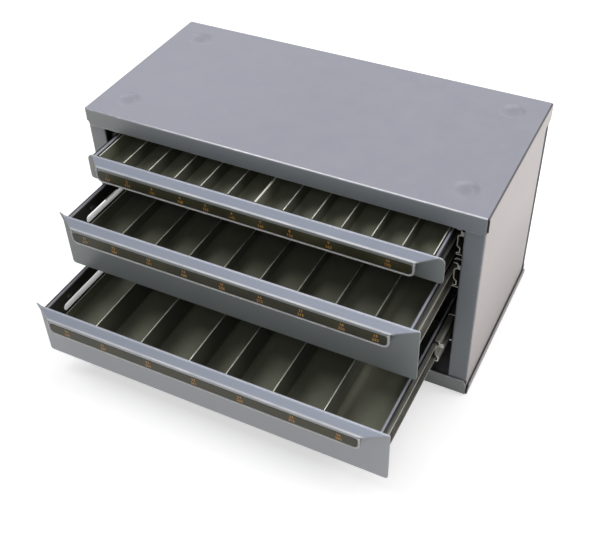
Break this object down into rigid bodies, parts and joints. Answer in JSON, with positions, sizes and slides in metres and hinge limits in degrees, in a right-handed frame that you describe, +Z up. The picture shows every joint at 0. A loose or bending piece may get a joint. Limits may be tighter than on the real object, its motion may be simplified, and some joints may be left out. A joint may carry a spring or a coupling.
{
  "type": "reamer dispenser",
  "caption": "Bench-top sheet-steel cabinet with shallow drawers on ball slides, each divided into long scooped compartments that hold reamers by size.",
  "frame": {"origin": "middle of the cabinet's footprint, on the underside of its base", "axes": "+X is the viewer's right, -Y is the front and the way the drawers pull out, +Z is up"},
  "size_m": [0.4076, 0.3441, 0.218],
  "materials": {
    "body_paint": "slate grey semi-gloss enamel",
    "top_paint": "blue-grey satin enamel",
    "zinc": "zinc plated",
    "cage": "thin stamped strip, lightly oiled",
    "label": "printed strip, satin",
    "insert": "dark moulded, fine texture",
    "divider": "bare sheared edge"
  },
  "bodies": {
    "cabinet": {"top_cover": "top_paint", "bottom_pan": "body_paint", "side_panel_left": "body_paint", "side_panel_right": "body_paint", "back_panel": "body_paint", "slide_support_left": "body_paint", "slide_support_right": "body_paint", "slide_rivets": "zinc", "cabinet_member_1_left": "zinc", "cabinet_member_1_right": "zinc", "cabinet_member_2_left": "zinc", "cabinet_member_2_right": "zinc", "cabinet_member_3_left": "zinc", "cabinet_member_3_right": "zinc"},
    "middle_slides_1": {"middle_member_1_left": "zinc", "middle_member_1_right": "zinc"},
    "outer_cages_1": {"outer_ball_cage_1": "cage"},
    "inner_cages_1": {"inner_ball_cage_1": "cage"},
    "drawer_1": {"drawer_1_tray": "body_paint", "drawer_1_front": "body_paint", "drawer_1_label": "label", "drawer_1_insert_left": "insert", "drawer_1_insert_right": "insert", "drawer_1_dividers": "divider", "drawer_1_member_left": "zinc", "drawer_1_member_right": "zinc", "drawer_1_rivets": "zinc"},
    "middle_slides_2": {"middle_member_2_left": "zinc", "middle_member_2_right": "zinc"},
    "outer_cages_2": {"outer_ball_cage_2": "cage"},
    "inner_cages_2": {"inner_ball_cage_2": "cage"},
    "drawer_2": {"drawer_2_tray": "body_paint", "drawer_2_front": "body_paint", "drawer_2_label": "label", "drawer_2_insert": "insert", "drawer_2_dividers": "divider", "drawer_2_member_left": "zinc", "drawer_2_member_right": "zinc", "drawer_2_rivets": "zinc"},
    "middle_slides_3": {"middle_member_3_left": "zinc", "middle_member_3_right": "zinc"},
    "outer_cages_3": {"outer_ball_cage_3": "cage"},
    "inner_cages_3": {"inner_ball_cage_3": "cage"},
    "drawer_3": {"drawer_3_tray": "body_paint", "drawer_3_front": "body_paint", "drawer_3_label": "label", "drawer_3_insert": "insert", "drawer_3_dividers": "divider", "drawer_3_member_left": "zinc", "drawer_3_member_right": "zinc", "drawer_3_rivets": "zinc"}
  },
  "joints": [
    {"name": "slide_1_outer", "type": "slide", "parent": "cabinet", "child": "middle_slides_1", "axis": [0, -1, 0], "range_m": [0, 0.07]},
    {"name": "slide_1_inner", "type": "slide", "parent": "middle_slides_1", "child": "drawer_1", "axis": [0, -1, 0], "range_m": [-0.0335, 0.0745]},
    {"name": "outer_cage_1", "type": "slide", "parent": "cabinet", "child": "outer_cages_1", "axis": [0, -1, 0], "range_m": [0, 0.035]},
    {"name": "inner_cage_1", "type": "slide", "parent": "middle_slides_1", "child": "inner_cages_1", "axis": [0, -1, 0], "range_m": [-0.01675, 0.03725]},
    {"name": "slide_2_outer", "type": "slide", "parent": "cabinet", "child": "middle_slides_2", "axis": [0, -1, 0], "range_m": [0, 0.07]},
    {"name": "slide_2_inner", "type": "slide", "parent": "middle_slides_2", "child": "drawer_2", "axis": [0, -1, 0], "range_m": [-0.0835, 0.0245]},
    {"name": "outer_cage_2", "type": "slide", "parent": "cabinet", "child": "outer_cages_2", "axis": [0, -1, 0], "range_m": [0, 0.035]},
    {"name": "inner_cage_2", "type": "slide", "parent": "middle_slides_2", "child": "inner_cages_2", "axis": [0, -1, 0], "range_m": [-0.04175, 0.01225]},
    {"name": "slide_3_outer", "type": "slide", "parent": "cabinet", "child": "middle_slides_3", "axis": [0, -1, 0], "range_m": [-0.032, 0.038]},
    {"name": "slide_3_inner", "type": "slide", "parent": "middle_slides_3", "child": "drawer_3", "axis": [0, -1, 0], "range_m": [-0.108, 0]},
    {"name": "outer_cage_3", "type": "slide", "parent": "cabinet", "child": "outer_cages_3", "axis": [0, -1, 0], "range_m": [-0.016, 0.019]},
    {"name": "inner_cage_3", "type": "slide", "parent": "middle_slides_3", "child": "inner_cages_3", "axis": [0, -1, 0], "range_m": [-0.054, 0]}
  ],
  "couplings": [
    {"joint": "outer_cage_1", "follows": "slide_1_outer", "ratio": 0.5},
    {"joint": "inner_cage_1", "follows": "slide_1_inner", "ratio": 0.5},
    {"joint": "outer_cage_2", "follows": "slide_2_outer", "ratio": 0.5},
    {"joint": "inner_cage_2", "follows": "slide_2_inner", "ratio": 0.5},
    {"joint": "outer_cage_3", "follows": "slide_3_outer", "ratio": 0.5},
    {"joint": "inner_cage_3", "follows": "slide_3_inner", "ratio": 0.5}
  ]
}
